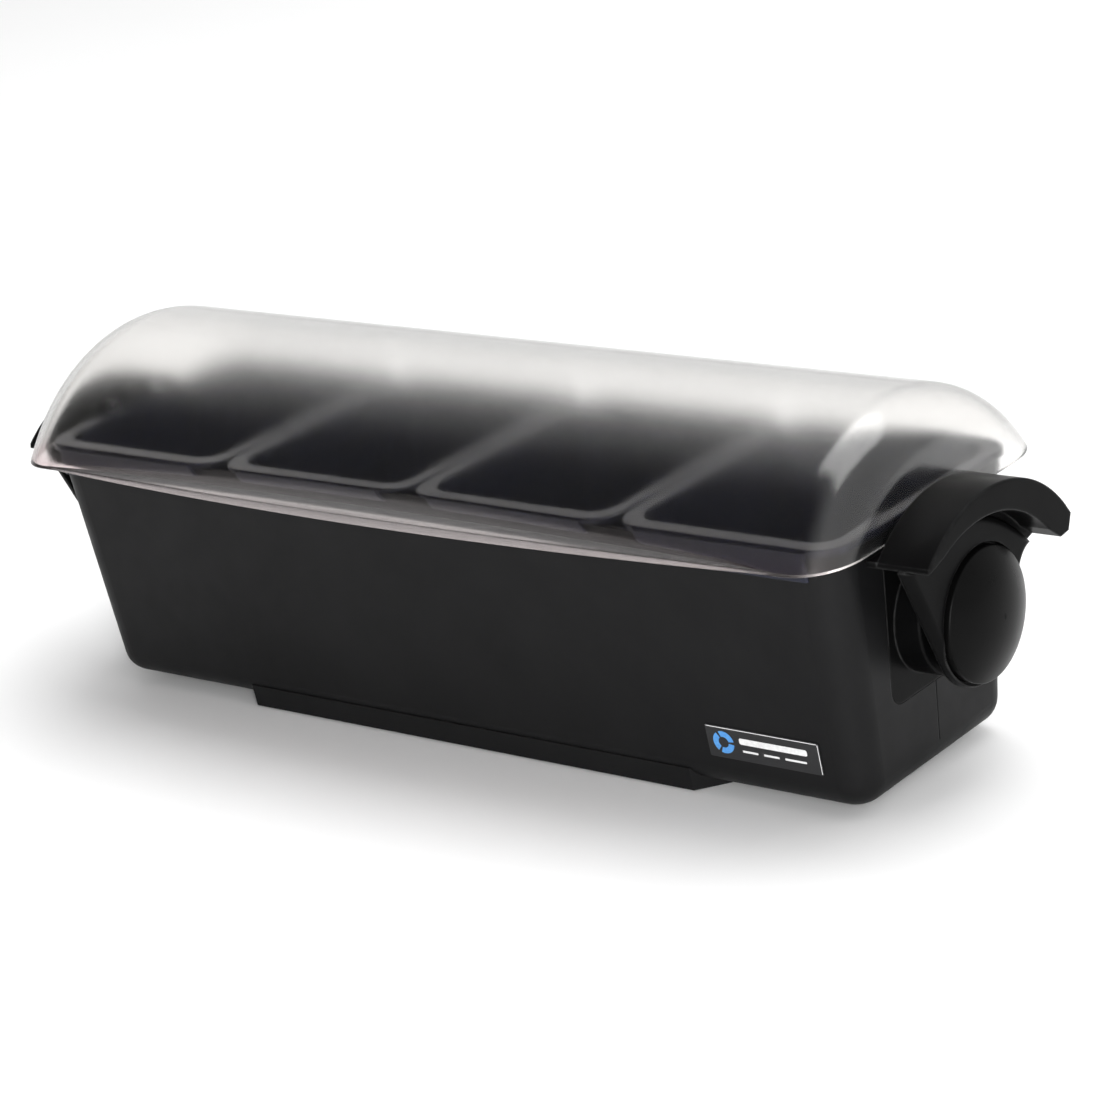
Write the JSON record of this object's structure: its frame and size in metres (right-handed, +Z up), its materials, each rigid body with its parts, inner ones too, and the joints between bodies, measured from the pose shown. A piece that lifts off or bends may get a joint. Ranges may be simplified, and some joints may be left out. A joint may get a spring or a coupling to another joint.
{
  "type": "condiment station",
  "caption": "Long black counter-top condiment station with lift-out trays under a frosted dome lid that rolls back about hubs on the end walls.",
  "frame": {"origin": "centre of the object's footprint, on the soles of its rubber feet", "axes": "+X along the length to the right, +Y to the back, +Z up; the front with the finger lip faces -Y"},
  "size_m": [0.524, 0.1798, 0.1717],
  "materials": {
    "tub_black": "satin black moulded plastic with a fine grain",
    "arm_black": "matt black moulded plastic with a fine spark-eroded grain",
    "cap_black": "matt black moulded plastic, slightly smoother than the arm",
    "tray_dark": "blue-black semi-gloss moulded plastic",
    "lid_frosted": "frosted clear plastic, blurring what lies behind it",
    "rubber": "matt black rubber",
    "steel": "plain stainless steel",
    "nylon": "natural nylon",
    "label": null
  },
  "bodies": {
    "base": {"tub": "tub_black", "plinth": "tub_black", "plinth_screws": "steel", "rubber_feet": "rubber", "tray_1": "tray_dark", "tray_2": "tray_dark", "tray_3": "tray_dark", "tray_4": "tray_dark", "pivot_block_left": "arm_black", "pivot_block_right": "arm_black", "block_screws_left": "steel", "block_screws_right": "steel", "pivot_pin_left": "steel", "pivot_pin_right": "steel", "label_plate": "label"},
    "lid": {"lid": "lid_frosted", "arm_left": "arm_black", "arm_right": "arm_black", "lid_screws_left": "steel", "lid_screws_right": "steel", "pivot_bush_left": "nylon", "pivot_bush_right": "nylon", "pivot_washer_left": "steel", "pivot_washer_right": "steel", "hub_cap_left": "cap_black", "hub_cap_right": "cap_black"}
  },
  "joints": [
    {"name": "lid_swing", "type": "hinge", "parent": "base", "child": "lid", "pos_m": [0, 0.005, 0.0787], "axis": [-1, 0, 0], "range_deg": [0, 80]}
  ]
}
